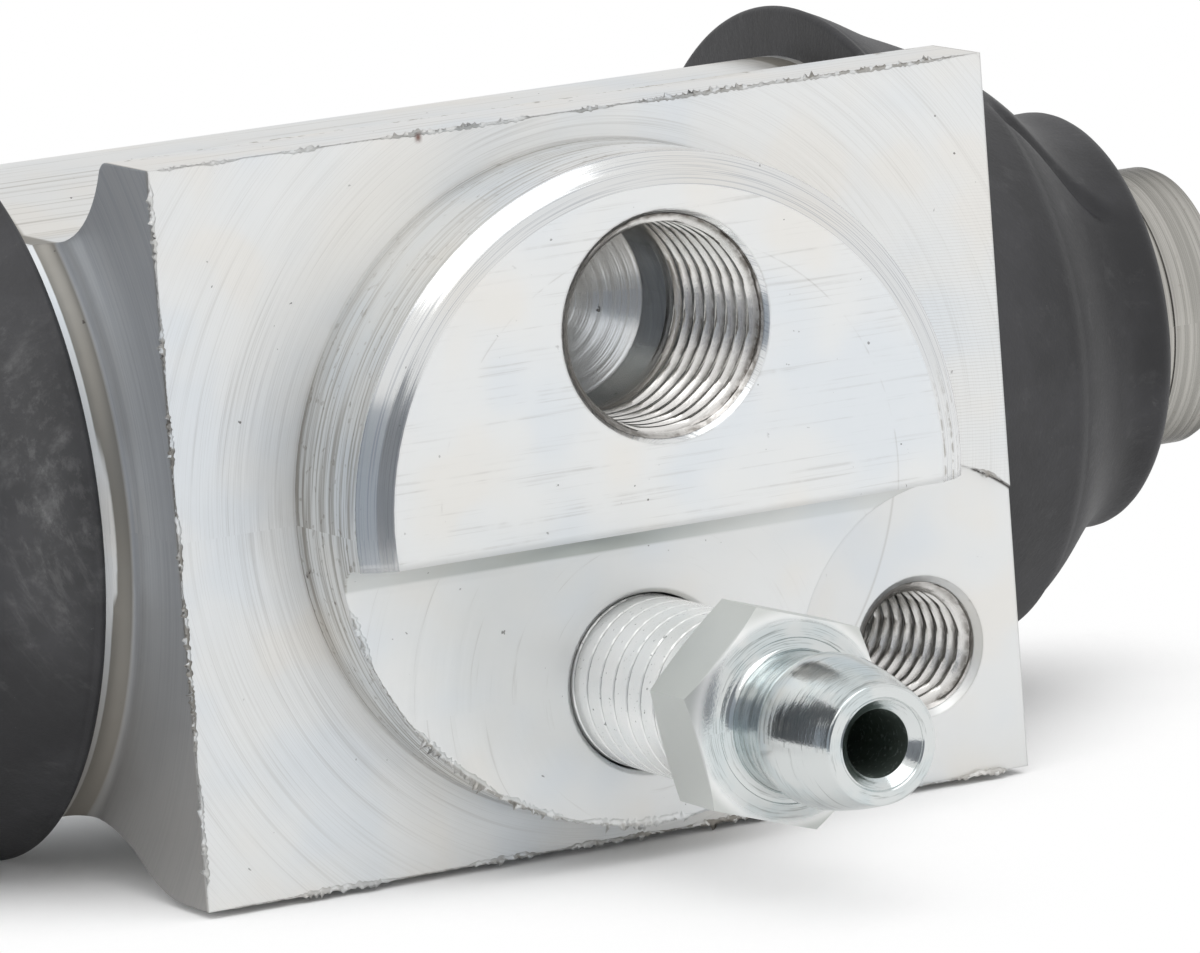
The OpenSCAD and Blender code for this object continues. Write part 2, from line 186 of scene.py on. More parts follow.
def feed(start, shader, colour, roughness, height=None, depth=0.0, normal=None, metallic=None):
    if height:
        sockets = {"Height": height, "Strength": 1.0, "Distance": depth * mm}
        if normal:
            sockets["Normal"] = normal
        normal = start.make("Bump", None, sockets)
    inputs = {"Base Color": colour, "Roughness": roughness, "Normal": normal, "Metallic": metallic}
    for key, value in inputs.items():
        if value:
            start.tree.links.new(value.socket, shader.inputs[key])


bodyLook = {
    "tone": (0.865, 0.875, 0.872, 1),
    "blue": (0.815, 0.850, 0.880, 1),
    "warm": (0.880, 0.862, 0.825, 1),
    "grimeAndShade": (0.30, 0.275, 0.24, 1),
    "ends": (0.50, 0.525, 0.56, 1),
    # a painted dark reflection on the fillet, over its brownish colour
    "filletBrownAndShade": (0.18, 0.165, 0.137, 1),
    # painted shade at the step's foot
    "corner": (0.42, 0.45, 0.425, 1),
    "pit": (0.07, 0.06, 0.055, 1),
    "rust": (0.16, 0.05, 0.03, 1),
    "edge": 0.14,                            # rounding of the machined edges
    "scribeR": 11.4, "spotR": 8.5,
    "stepZ": -2.4,                           # the hollow at the step's foot
    "stepEdgeZ": -1.45, "stepEdge": 0.5,
    "topNick": (-7.7, 16.3),
    # where one face passes into the next
    "facing": (0.955, 0.985), "raisedFrom": (5.2, 5.6), "lowerFrom": (2.0, 3.0), "plateTo": (1.0, 2.0),
    "behind": (-0.3, -0.1), "wallFrom": (-0.25, -0.05), "wallR": (15.0, 15.1), "spotEdge": (8.35, 8.5),
    "portR": (4.9, 5.05), "portEnd": (-16.0, -15.0), "filletX": (20.7, 21.0), "landX": (21.86, 21.94),
    "stepFoot": (3.88, 3.92), "rimLean": (0.5, 0.7), "endLean": (0.75, 0.9), "topLean": (0.7, 0.9),
}


def machinedMetal():
    look = bodyLook
    material, start, shader, place = surface("machinedMetal", {"Specular IOR Level": 0.3})
    x, y, z = place.split()
    nx, ny, nz = start.make("TexCoord", None, None, 1).split()    # the solid's own normal
    out = 0 - y                              # distance out of the mounting face
    radius = x.span(z)
    angle = start.math("ARCTAN2", z, x)
    along = start.math("ABSOLUTE", x)
    behind = y - axisDepth
    boreRadius = behind.span(z)
    port = placeOf("pipe_port")
    portRadius = (x - port.x).span(z - port.z)
    fixing = placeOf("fixing_hole")
    spotRadius = (x - fixing.x).span(z - fixing.z)
    bleed = placeOf("bleed_nipple")
    bleedRadius = (x - bleed.x).span(z - bleed.z)
    bleedAngle = start.math("ARCTAN2", z - bleed.z, x - bleed.x)

    # Which face of the body this is
    facing = (0 - ny).rise(*look["facing"])
    high = out.rise(*look["raisedFrom"])
    raised = facing * high
    lower = facing * out.rise(*look["lowerFrom"]) * (1 - high)
    plate = facing * (1 - out.rise(*look["plateTo"]))
    spot = plate * (1 - spotRadius.rise(*look["spotEdge"]))
    rim = (1 - facing) * high * (0 - ny).rise(*look["rimLean"])
    inPort = (1 - portRadius.rise(*look["portR"])) * out.rise(*look["portEnd"]) * (1 - facing)
    back = 1 - out.rise(*look["behind"])
    ending = start.math("ABSOLUTE", nx).rise(*look["endLean"]) * back
    wall = (1 - facing) * (1 - rim) * out.rise(*look["wallFrom"]) * radius.rise(*look["wallR"])
    outside = (1 - facing) * (1 - ending) * back * (1 - inPort)
    fillet = outside * along.rise(*look["filletX"])
    land = fillet * along.rise(*look["landX"])
    hollow = (1 - facing) * out.rise(*look["stepFoot"]) * (1 - high) * z.near(look["stepZ"], 1.6)
    above = outside * nz.rise(*look["topLean"])

    cloud = start.grain(x * 0.13, y * 0.13, z * 0.13, 2.0, 0.55)
    patch = start.grain(x * 0.5, y * 0.5, z * 0.5, 3.0, 0.6)
    dots = start.grain(x * 2.1, y * 2.1, z * 2.1, 2.0, 0.55)
    rings = start.grain(radius * 4.0, angle * 0.9, 0.0, 3.0, 0.7)
    fineRings = start.grain(radius * 23.0, angle * 2.0, 3.0, 1.0)
    strokes = start.grain(x * 0.10, y, z * 5.0, 3.0, 0.65)
    fineStrokes = start.grain(x * 0.5, y, z * 22.0, 1.0)
    drawn = start.grain(x * 0.05, y * 4.0, z * 4.0, 3.0, 0.65)
    wallMarks = start.grain(y * 3.6, angle * 1.1, 2.0, 3.0, 0.65)
    turned = start.grain(boreRadius * 9.0, start.math("ARCTAN2", z, behind) * 1.5, x * 0.5, 3.0, 0.6)
    rimMarks = start.grain(radius * 13.0, angle * 1.3, 6.0, 2.0, 0.65)
    portMarks = start.grain(portRadius * 12.0, y * 12.0, 1.0, 2.0, 0.7)
    bleedMarks = start.grain(bleedRadius * 3.0, bleedAngle * 0.8, 5.0, 3.0, 0.7)
    hatching = start.math("SINE", z * 42.0 + patch * 6.0 + x * 3.0) * 0.5
    chatter = hatching * angle.near(0.18, 0.55) * radius.rise(15.3, 16.0) * plate * (1 - spot)

    # Normals tilted across the tool marks
    stepEdge = out.rise(5.4, 6.2) * z.near(look["stepEdgeZ"], 1.0)
    rounding = stepEdge * look["stepEdge"] + look["edge"]
    normal = start.make("Bevel", {"samples": 2}, {"Radius": rounding * mm})
    ringed = plate * (1 - spot) + rim
    normal = normal.lean(start.groovesRound(place, (0, 1, 0)),
                         ringed * ((rings - 0.5) * 0.26 + (fineRings - 0.5) * 0.30) + chatter * 0.10)
    normal = normal.lean((1, 0, 0), raised * ((strokes - 0.5) * 0.16 + (fineStrokes - 0.5) * 0.16)
                         + outside * (1 - fillet) * (drawn - 0.5) * 0.22 + spot * (fineStrokes - 0.5) * 0.08)
    fromBleed = start.vector("SUBTRACT", place, tuple(bleed))
    normal = normal.lean(start.groovesRound(fromBleed, (0, 1, 0)), lower * (bleedMarks - 0.5) * 0.16)
    normal = normal.lean(start.groovesRound(place, (0, 1, 0)), wall * (wallMarks - 0.5) * 0.5)
    fromBore = start.vector("SUBTRACT", place, (0, axisDepth, 0))
    normal = normal.lean(start.groovesRound(fromBore, (1, 0, 0)), (ending + fillet) * (turned - 0.5) * 0.14)
    fromPort = start.vector("SUBTRACT", place, tuple(port))
    normal = normal.lean(start.groovesRound(fromPort, (0, 1, 0)), inPort * (portMarks - 0.5) * 0.55)

    # Tints, streaks, grime, pits, and painted shade, glow and reflection
    colour = start.tint(cloud.rise(0.46, 0.66) * (1 - rim * 0.5), look["tone"], look["blue"])
    colour = start.tint((1 - cloud.rise(0.34, 0.47)) * 0.8, colour, look["warm"])
    # a painted warm glow on the plate at the spigot's upper left foot: a painted reflection of the light
    paintedFootGlow = plate * radius.near(17.0, 4.0) * angle.near(2.2, 0.7)
    colour = start.tint(paintedFootGlow * 0.9, colour, look["warm"])
    streak = raised * strokes.rise(0.53, 0.70) * patch.rise(0.36, 0.60) * 0.22
    scribe = raised * radius.near(look["scribeR"], 0.06) * patch.rise(0.45, 0.62) * 0.22
    # the spigot's wall: tool marks and dirt, with painted shade low at its foot and a painted highlight that
    # leaves its upper left lighter
    wallDirtAndShade = wall * (0.10 + wallMarks.rise(0.44, 0.64) * 0.60 + dots.rise(0.62, 0.70) * 0.30)
    wallDirtAndShade = (wallDirtAndShade + wall * (1 - out.rise(0.5, 1.5)) * 0.22) * (1 - angle.near(2.2, 0.6) * 0.5)
    lowEnd = z.rise(2.0, -14.0)
    endTone = ending * (0.80 + turned.rise(0.60, 0.35) * 0.20)
    colour = start.tint(start.math("MINIMUM", endTone, 1.0), colour, look["ends"])
    # the fillet painted dark olive-brown: its brownish colour with a painted dark reflection
    colour = start.tint((fillet - land) * 0.86, colour, look["filletBrownAndShade"])
    # painted shade at the step's foot, darkest mid-step: a painted reflection of the shadowed bleed screw
    colour = start.tint(hollow * (0.30 + x.near(-3.0, 12.0) * 0.45), colour, look["corner"])
    colour = start.tint(rim * rimMarks.rise(0.48, 0.66) * 0.6, colour, look["ends"])
    # the end faces and fillets darker towards the bottom
    endsDarkerLow = ending * lowEnd * 0.62 + fillet * lowEnd * 0.60
    ringDirt = plate * (1 - spot) * (rings.rise(0.54, 0.70) * 0.13 + fineRings.rise(0.5, 0.7) * 0.10)
    ringDirt = ringDirt + (chatter + 0.5).rise(0.55, 0.9) * 0.16
    rimSpecks = (rim + wall * high) * angle.near(0.0, 0.35) * rings.rise(0.50, 0.60)
    rimSpecks = rimSpecks * dots.rise(0.42, 0.60) * 0.6
    backMarks = above * y.near(4.3, 0.7) * dots.rise(0.56, 0.66) * 0.65
    mouth = raised * portRadius.near(5.12, 0.2) * patch.rise(0.40, 0.60) * 0.45 + rim * 0.08
    # outer faces a little darker, faces that point up darker still, with streaks along the drawing marks
    topDarkening = (outside - fillet) * 0.08 + above * (0.06 + drawn.rise(0.52, 0.70) * 0.34)
    lowDirt = lower * bleedMarks.rise(0.60, 0.74) * 0.22
    foot = plate * radius.near(15.2, 0.10) * 0.25
    # dirt and tool marks, summed with the painted shade and highlight on the spigot's wall
    grimeAndShade = streak + scribe + wallDirtAndShade + endsDarkerLow + mouth + topDarkening + lowDirt + foot
    grimeAndShade = grimeAndShade + ringDirt + rimSpecks + backMarks
    colour = start.tint(start.math("MINIMUM", grimeAndShade, 0.85), colour, look["grimeAndShade"])
    pits = dots.rise(0.735, 0.765) * patch.rise(0.42, 0.58) * (1 - ending)
    crack = plate * spotRadius.near(look["spotR"] - 0.03, 0.05 + patch * 0.16) * x.rise(18.9, 19.2)
    crack = crack * z.rise(-6.0, -4.5) * dots.rise(0.30, 0.45)
    nickX, nickZ = look["topNick"]
    nick = x.near(nickX, 0.26) * z.near(nickZ, 0.34) * y.near(0.0, 0.5) * dots.rise(0.30, 0.42)
    colour = start.tint(pits * 0.8 + crack * 0.9, colour, look["pit"])
    colour = start.tint(nick * 0.9, colour, look["rust"])

    roughness = 0.40 + (patch - 0.5) * 0.16 - rim * 0.24 + wall * 0.02 - ending * 0.04 - inPort * 0.20
    roughness = roughness - outside * 0.04 - lower * 0.05 + (fillet - land) * 0.12
    roughness = roughness + (strokes - 0.5) * raised * 0.2 + grimeAndShade * 0.1 + crack * 0.3
    satin = plate * 0.45 + lower * 0.45 + wall * 0.12 + ending * 0.35 + raised * 0.25 + fillet * 0.2
    feed(start, shader, colour, roughness, normal=normal, metallic=1 - satin)
    return material


boredLook = {"tone": (0.86, 0.845, 0.82, 1), "root": (0.17, 0.15, 0.13, 1), "rough": 0.24}


def boredMetal(name, mount, crest):
    look = boredLook
    material, start, shader, place = surface(name, {"Metallic": 1.0})
    x, y, z = place.split()
    centre = placeOf(mount)
    radius = (x - centre.x).span(z - centre.z)
    angle = start.math("ARCTAN2", z - centre.z, x - centre.x)
    cuts = start.grain(angle * 1.5, y * 11.0, 0.0, 3.0, 0.6)
    tears = start.grain(x * 1.5, y * 2.2, z * 1.5, 4.0, 0.7)
    depth = radius.rise(crest + 0.10, radiusOf(mount) - 0.05)
    inside = (y - centre.y).rise(-5.0, -3.9)
    # darker towards the thread roots, with tear marks strongest on the upper side
    rootDarkening = depth * (0.45 + tears.rise(0.40, 0.62) * 0.5) + tears.rise(0.63, 0.70) * 0.6 * angle.near(1.4, 1.5)
    colour = start.tint(start.math("MINIMUM", rootDarkening, 0.92) * inside, look["tone"], look["root"])
    normal = start.make("NewGeometry", None, None, 1)
    normal = normal.lean(start.groovesRound(start.vector("SUBTRACT", place, tuple(centre)), (0, 1, 0)),
                         (cuts - 0.5) * 0.22)
    feed(start, shader, colour, look["rough"] + (cuts - 0.5) * 0.15 + rootDarkening * 0.2, tears, 0.015, normal)
    return material


platedLook = {
    "tone": (0.97, 0.975, 0.965, 1), "cool": (0.62, 0.69, 0.705, 1), "satin": (0.66, 0.68, 0.655, 1),
    "nose": (0.72, 0.745, 0.74, 1), "dark": (0.110, 0.128, 0.116, 1), "speck": (0.62, 0.68, 0.64, 1),
    "hole": (0.30, 0.36, 0.32, 1), "grooveR": 3.86, "holeR": (1.48, 1.56), "holeTo": (20.5, 20.6),
}


def platedMetal(hexFrom, hexTo):
    look = platedLook
    material, start, shader, place = surface("platedMetal", {"Specular IOR Level": 0.3})
    x, y, z = place.split()
    axis = Vector(joints["bleed_screw_turn"]["pos_m"]) / mm
    out = axis.y - y
    radius = (x - axis.x).span(z - axis.z)
    angle = start.math("ARCTAN2", z - axis.z, x - axis.x)
    thread = 1 - out.rise(hexFrom - 0.2, hexFrom)
    nose = out.rise(hexTo - 0.2, hexTo + 0.1)
    flats = (1 - thread) * (1 - nose)
    hole = (1 - radius.rise(*look["holeR"])) * (1 - out.rise(*look["holeTo"]))
    rings = start.grain(out * 4.0, angle * 0.8, radius * 4.0, 4.0, 0.7)
    fine = start.grain(out * 21.0, angle * 2.0, radius * 21.0, 1.0)
    cloud = start.grain(x * 0.45, y * 0.45, z * 0.45, 3.0)
    grit = start.grain(x * 9.0, y * 9.0, z * 9.0, 2.0, 0.6)
    specks = start.grain(x * 4.5, y * 4.5, z * 4.5, 2.0, 0.6)
    normal = start.make("NewGeometry", None, None, 1)
    normal = normal.lean(start.groovesRound(start.vector("SUBTRACT", place, tuple(axis)), (0, 1, 0)),
                         nose * ((rings - 0.5) * 0.16 + (fine - 0.5) * 0.08) + thread * (fine - 0.5) * 0.03)
    colour = start.tint(nose, look["tone"], look["nose"])
    colour = start.tint(cloud.rise(0.42, 0.62) * (0.15 + nose * 0.5), colour, look["cool"])
    colour = start.tint(flats * (1 - out.rise(hexTo - 0.4, hexTo - 0.1)) * 0.9, colour, look["satin"])
    scored = nose * (rings.rise(0.56, 0.68) * 0.45 + fine.rise(0.56, 0.66) * cloud.rise(0.45, 0.6) * 0.35)
    # the thread's grooves painted dark: painted shade
    grooveShade = thread * (1 - radius.rise(look["grooveR"] - 0.06, look["grooveR"])) * 0.6
    colour = start.tint(scored + grooveShade, colour, look["dark"])
    inner = start.tint(specks.rise(0.57, 0.66), look["hole"], look["speck"])
    colour = start.tint(hole, colour, inner)
    colour = start.tint(thread * specks.rise(0.66, 0.74) * 0.7, colour, look["dark"])
    roughness = 0.13 + flats * 0.27 + nose * 0.02 + (cloud - 0.5) * 0.10 + hole * 0.45 + (grit - 0.5) * 0.08
    height = grit * (0.30 + thread * 0.3) + specks * thread * 0.6
    feed(start, shader, colour, roughness, height, 0.014, normal, 1 - thread * 0.55 - flats * 0.12)
    return material


pistonLook = {"tone": (0.54, 0.525, 0.49, 1), "dim": (0.38, 0.37, 0.343, 1), "stain": (0.17, 0.10, 0.06, 1)}


def turnedMetal():
    look = pistonLook
    material, start, shader, place = surface("turnedMetal", {"Metallic": 1.0, "Specular Tint": grey(0.4)})
    x, y, z = place.split()
    around = start.math("ARCTAN2", z, y - axisDepth)
    cuts = start.grain(x * 5.0, around * 0.22, 0.0, 4.0, 0.7)
    fine = start.grain(x * 24.0, around * 0.6, 2.0, 1.0)
    stain = start.grain(x * 1.7, y * 1.7, z * 1.7, 4.0, 0.7)
    lip = start.math("ABSOLUTE", x).near(37.1, 0.7)
    colour = start.tint(cuts.rise(0.40, 0.62), look["dim"], look["tone"])
    colour = start.tint(stain.rise(0.62, 0.72) * (0.25 + lip * 0.6), colour, look["stain"])
    normal = start.make("NewGeometry", None, None, 1)
    offset = start.vector("SUBTRACT", place, (0, axisDepth, 0))
    normal = normal.lean(start.groovesRound(offset, (1, 0, 0)), (cuts - 0.5) * 0.16 + (fine - 0.5) * 0.30)
    feed(start, shader, colour, 0.28 + (cuts - 0.5) * 0.2, stain, 0.01, normal)
    return material


rubberLook = {
    "tone": (0.022, 0.022, 0.024, 1), "dust": (0.046, 0.046, 0.050, 1), "wornAndSheen": grey(0.24), "rough": 0.50,
}


def bootRubber():
    look = rubberLook
    material, start, shader, place = surface("bootRubber", {"Specular IOR Level": 0.38})
    x, y, z = place.split()
    away = start.math("ABSOLUTE", x)
    cloud = start.grain(x * 0.13, y * 0.13, z * 0.13, 4.0, 0.6)
    fine = start.grain(x * 6.0, y * 6.0, z * 6.0, 3.0, 0.7)
    rub = start.grain(x * 0.3, y * 1.1, z * 0.5, 5.0, 0.72)
    hair = start.grain(x * 1.2 + z * 0.8, y * 3.0, z * 0.25, 5.0, 0.75)
    colour = start.tint(cloud.rise(0.36, 0.68), look["tone"], look["dust"])
    scuff = rub.rise(0.55, 0.72) * 0.25 + hair.rise(0.62, 0.74) * cloud.rise(0.42, 0.60) * 0.45
    # rub marks on the left boot's front, and a painted sheen that lightens its middle evenly
    frontRubAndSheen = (axisDepth - y).rise(10.0, 15.0) * (z - 2.0).near(0.0, 12.0) * away.near(24.6, 3.2)
    rubbedAndSheen = 0.16 + rub.rise(0.46, 0.66) * 0.22 + hair.rise(0.50, 0.66) * 0.22
    rubbedAndSheen = frontRubAndSheen * rubbedAndSheen * (1 - x.rise(-1, 1))
    colour = start.tint(scuff * 0.35 + rubbedAndSheen, colour, look["wornAndSheen"])
    speck = fine.rise(0.70, 0.76) * rub.rise(0.45, 0.6)
    colour = start.tint(speck * 0.6, colour, look["wornAndSheen"])
    roughness = look["rough"] + (cloud - 0.5) * 0.3 + (fine - 0.5) * 0.2
    feed(start, shader, colour, roughness, fine * 0.5 + rub * 0.8 + hair * 0.4, 0.03)
    return material


def plainRubber():
    material, start, shader, place = surface("cupRubber", {"Specular IOR Level": 0.4})
    x, y, z = place.split()
    fine = start.grain(x * 4.0, y * 4.0, z * 4.0)
    colour = start.tint(fine, grey(0.02), grey(0.04))
    feed(start, shader, colour, 0.45 + fine * 0.2, fine, 0.01)
    return material


def springSteel():
    material, start, shader, place = surface("springSteel", {"Metallic": 1.0})
    x, y, z = place.split()
    fine = start.grain(x * 2.0, y * 2.0, z * 2.0)
    colour = start.tint(fine, grey(0.38), grey(0.52))
    feed(start, shader, colour, 0.3 + fine * 0.15, fine, 0.01)
    return material


bodyMetal = machinedMetal()
pistonMetal = turnedMetal()
rubber = bootRubber()
sealRubber = plainRubber()
springMetal = springSteel()
print("materials made")


# Rings of points in millimetres, joined into a mesh
def meshPiece(name, points, faces, material, sharp=32.0):
    mesh = bpy.data.meshes.new(name)
    mesh.from_pydata([Vector(p) * mm for p in points], [], faces)
    shape = bmesh.new()
    shape.from_mesh(mesh)
    bmesh.ops.recalc_face_normals(shape, faces=shape.faces)
    shape.to_mesh(mesh)
    shape.free()
    mesh.shade_smooth()
    mesh.set_sharp_from_angle(angle=math.radians(sharp))
    mesh.materials.append(material)
    piece = bpy.data.objects.new(name, mesh)
    bpy.context.collection.objects.link(piece)
    return piece


def ringFaces(count, around, closed=False, caps=True):
    faces = []
    for i in range(count if closed else count - 1):
        low = i * around
        high = (i + 1) % count * around
        for k in range(around):
            after = (k + 1) % around
            faces.append((low + k, low + after, high + after, high + k))
    if caps and not closed:
        last = (count - 1) * around
        faces.append(tuple(range(around)))
        faces.append(tuple(last + k for k in reversed(range(around))))
    return faces


def spun(name, rows, around, place, material, closed=False, caps=True, begin=0.0, sharp=32.0):
    angles = [begin + fullTurn * k / around for k in range(around)]
    points = [place(*row(angle), angle) for row in rows for angle in angles]
    return meshPiece(name, points, ringFaces(len(rows), around, closed, caps), material, sharp)


def ring(radius, distance):
    return lambda angle: (radius, distance)


def onBore(side):
    return lambda radius, distance, angle: (side * distance, axisDepth + radius * math.cos(angle),
                                            radius * math.sin(angle))


def outOfFace(x, y, z):
    return lambda radius, distance, angle: (x + radius * math.cos(angle), y - distance,
                                            z + radius * math.sin(angle))


def spread(low, high, count):
    return [low + (high - low) * i / count for i in range(count + 1)]


def smooth(value):
    value = min(max(value, 0.0), 1.0)
    return value * value * (3 - 2 * value)


# 1 on a thread's crest and 0 in its root, for a place counted in turns
def ridge(turns, crest=0.22, root=0.2):
    away = abs(turns % 1.0 - 0.5) * 2
    return smooth((away - root) / (1 - crest - root))


portThread = {"pitch": 1.0, "crest": 4.58, "mouth": 0.2, "end": 8.6, "around": 160, "steps": 12, "gap": 0.012}
fixingThread = {**portThread, "crest": 2.5, "mouth": 0.32, "end": 10.0, "around": 120}


def threadedHole(name, mount, faceY, thread):
    root = radiusOf(mount) - thread["gap"]
    crest = thread["crest"]
    count = round((thread["end"] - thread["mouth"]) / thread["pitch"] * thread["steps"])

    def wall(depth):
        def row(angle):
            turns = -depth / thread["pitch"] - angle / fullTurn
            cone = root - (depth - thread["mouth"])
            fade = smooth((thread["end"] - depth) / (1.5 * thread["pitch"]))
            cut = crest + (root - crest) * (1 - ridge(turns)) * fade
            return max(cut, cone), -depth
        return row

    rows = [wall(depth) for depth in spread(thread["mouth"], thread["end"], count)]
    centre = placeOf(mount)
    piece = spun(name, rows, thread["around"], outOfFace(centre.x, faceY, centre.z),
                 boredMetal(name + "_metal", mount, crest), caps=False)
    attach(piece, "cylinder")


spotY = 0.15                                 # the spot face, just behind the plate's
threadedHole("pipe_port_thread", "pipe_port", raisedY, portThread)
threadedHole("fixing_hole_thread", "fixing_hole", spotY, fixingThread)
print("threaded holes made")


bleeder = {
    "pitch": 1.25, "threadR": 3.9, "threadDepth": 0.16, "threadFrom": -6.0, "threadTo": 8.7, "steps": 36,
    "crest": 0.82, "root": 0.03,             # wide crests between narrow grooves
    "fadeIn": 0.8, "fadeOut": 1.1, "reliefR": 3.5, "tipR": 1.03, "tipS": -11.27, "seatR": 3.0, "seatGap": 0.9,
    "washerR": 4.3, "hexFrom": 9.1, "hexTo": 13.0, "acrossFlats": 9.0, "hexTurn": 42.0, "chamferR": 4.3,
    "faceR": 3.62, "faceStep": 0.1, "filletR": 0.42, "neckR": 3.12, "neckS": 14.6,
    "bandR": 3.4, "bandFrom": 16.3, "bandTo": 16.9, "noseR": 2.5, "noseS": 21.0, "noseRound": 0.16,
    "holeR": 1.5, "mouthR": 1.95, "mouthS": 20.55, "holeEnd": -9.4, "around": 144,
}


def bleedScrew():
    b = bleeder
    slope = math.tan(math.radians(30))
    begin = math.radians(b["hexTurn"])

    def hexR(angle):
        fromFlat = (angle - begin) % (fullTurn / 6) - fullTurn / 12
        return b["acrossFlats"] / 2 / math.cos(fromFlat)

    def threaded(s):
        fade = smooth((s - b["threadFrom"]) / b["fadeIn"]) * smooth((b["threadTo"] - s) / b["fadeOut"])

        def row(angle):
            groove = 1 - ridge(s / b["pitch"] - angle / fullTurn, b["crest"], b["root"])
            return b["threadR"] - b["threadDepth"] * groove * fade, s
        return row

    count = round((b["threadTo"] - b["threadFrom"]) / b["pitch"] * b["steps"])
    rows = [ring(b["tipR"], b["tipS"]), ring(b["seatR"], b["tipS"] + b["seatR"] - b["tipR"]),
            ring(b["seatR"], b["threadFrom"] - b["seatGap"])]
    rows += [threaded(s) for s in spread(b["threadFrom"], b["threadTo"], count)]
    rows += [ring(b["reliefR"], b["threadTo"] + 0.2), ring(b["reliefR"], b["hexFrom"]),
             ring(b["washerR"], b["hexFrom"]),
             lambda angle: (hexR(angle), b["hexFrom"] + (hexR(angle) - b["washerR"]) * slope / 2),
             lambda angle: (hexR(angle), b["hexTo"] - (hexR(angle) - b["chamferR"]) * slope),
             ring(b["chamferR"], b["hexTo"])]
    faceS = b["hexTo"] + b["faceStep"]
    rows += [ring(b["faceR"] + 0.05, faceS + 0.06), ring(b["faceR"], faceS)]
    for t in spread(0.0, 1.0, 6):            # fillet between the hexagon's face and the nipple's neck
        turn = t * math.pi / 2
        rows.append(ring(b["neckR"] + b["filletR"] * (1 - math.sin(turn)),
                         faceS + 0.02 + b["filletR"] * (1 - math.cos(turn))))
    for t in spread(0.0, 1.0, 8):
        rows.append(ring(b["neckR"] + (b["bandR"] - b["neckR"]) * smooth(t),
                         b["neckS"] + (b["bandFrom"] - b["neckS"]) * t))
    rows.append(ring(b["bandR"], b["bandTo"]))
    edge = b["noseRound"]
    coneR = b["noseR"] + edge
    coneS = b["noseS"] - edge
    for t in spread(0.12, 1.0, 8):
        rows.append(ring(b["bandR"] - (b["bandR"] - coneR) * (0.6 * t + 0.4 * t * t),
                         b["bandTo"] + (coneS - b["bandTo"]) * t))
    for t in spread(0.2, 1.0, 4):
        turn = t * math.pi / 2
        rows.append(ring(b["noseR"] + edge * math.cos(turn), coneS + edge * math.sin(turn)))
    rows += [ring(b["mouthR"] + 0.12, b["noseS"]), ring(b["mouthR"] + 0.06, b["noseS"] - 0.06),
             ring(b["mouthR"], b["noseS"] - 0.02), ring(b["holeR"], b["mouthS"]),
             ring(b["holeR"], b["holeEnd"])]
    axis = Vector(joints["bleed_screw_turn"]["pos_m"]) / mm
    zinc = platedMetal(b["hexFrom"], b["hexTo"])
    piece = spun("bleed_screw_plated", rows, b["around"], outOfFace(*axis), zinc, begin=begin)
    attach(piece, "bleed_screw")
    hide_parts("bleed_screw")


bleedScrew()
print("bleed screw made")


bootShape = {
    "collarR": 16.84, "collarEndR": 14.05, "collarL": 7.2, "sag": 0.05, "edge": 0.7, "rimEdge": 0.3,
    "band": ((12.75, 9.3), (10.15, 10.9)),   # the points that bend the band between collar and lip
    "lipR": 10.05, "lipX": 13.1, "creaseX": 11.9, "wall": 1.7, "drop": 0.28,
    "overNeckR": 13.05, "beadR": 12.25, "beadW": 1.65, "seatR": 6.25, "lipBeadW": 2.2,
    "around": 240, "ripple": 0.14, "rimLine": 0.06, "rimLineX": 0.55,
    "valley": 0.13, "valleyW": 1.1, "valleyFrom": 132, "valleyTo": 330,
    "fold": {"depth": 0.34, "from": (7.5, 121.0), "to": (11.9, 143.0), "width": 0.55,
             "roll": 0.16, "rollEnd": 14.0},
}


def bootProfile(length):
    b = bootShape
    edge = b["edge"]
    lipR = b["lipR"]
    outside = []
    rim = b["rimEdge"]
    for t in spread(0, 1, 6):
        turn = t * math.pi / 2
        outside.append((b["collarR"] - rim + rim * math.sin(turn), rim - rim * math.cos(turn)))
    for t in [0.015, 0.03, 0.046, 0.062, 0.08] + spread(0.12, 0.97, 16):
        s = rim + (b["collarL"] - rim) * t
        line = b["rimLine"] * max(0.0, 1 - abs(s - b["rimLineX"]) / 0.12)
        r = b["collarR"] + (b["collarEndR"] - b["collarR"]) * t - 4 * b["sag"] * t * (1 - t)
        outside.append((r - line, s))
    start = (b["collarEndR"] - edge / 2, b["collarL"] + edge / 3)
    first, second = b["band"]
    end = (lipR, b["lipX"])
    band = [tuple((1 - t) ** 3 * p + 3 * t * (1 - t) ** 2 * q + 3 * t * t * (1 - t) * r + t ** 3 * e
                  for p, q, r, e in zip(start, first, second, end)) for t in spread(0, 1, 30)]
    outside += band
    lipEdge = 1.15 * edge
    for t in spread(0, 1, 7):
        turn = t * math.pi / 2
        outside.append((lipR - lipEdge * (1 - math.cos(turn)), length - lipEdge * (1 - math.sin(turn))))
    inside = [(b["seatR"], length), (b["seatR"], length - b["lipBeadW"])]
    inside += [(r - 0.75 * b["wall"], s - 0.6 * b["wall"]) for r, s in reversed(band[10:24:4])]
    inside += [(b["overNeckR"], b["collarL"] - b["wall"]), (b["overNeckR"], b["beadW"]),
               (b["beadR"], b["beadW"]), (b["beadR"], 0.0)]
    return outside, inside


